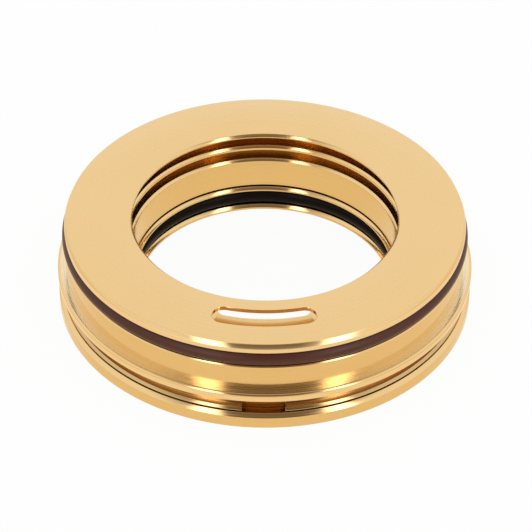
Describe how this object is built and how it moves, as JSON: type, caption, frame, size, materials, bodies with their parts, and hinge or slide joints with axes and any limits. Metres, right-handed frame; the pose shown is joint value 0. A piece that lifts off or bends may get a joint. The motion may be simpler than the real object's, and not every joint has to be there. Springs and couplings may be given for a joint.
{
  "type": "bearing isolator",
  "caption": "Bronze labyrinth bearing isolator: flanged stator with housing O-ring, drain slot and expulsion port, and a rotor driven by a shaft O-ring.",
  "frame": {"origin": "centre of the rotor's outboard face, on which the part stands", "axes": "+Z along the shaft towards the bearing, -Y towards the drain slot and the expulsion port, which is down when fitted"},
  "size_m": [0.0928, 0.0928, 0.0212],
  "materials": {
    "stator_bronze": "fine turned, bright",
    "rotor_bronze": "fine turned, bright",
    "brown_rubber": "satin moulded rubber",
    "black_rubber": "satin moulded rubber",
    "white_plastic": "plain machined fluoropolymer"
  },
  "bodies": {
    "stator_side": {"stator": "stator_bronze", "housing_o_ring": "brown_rubber", "retaining_ring": "white_plastic"},
    "rotor_side": {"rotor": "rotor_bronze", "drive_o_ring": "black_rubber"}
  },
  "joints": [
    {"name": "rotor_spin", "type": "hinge", "parent": "stator_side", "child": "rotor_side", "pos_m": [0, 0, 0], "axis": [0, 0, 1], "continuous": true}
  ]
}
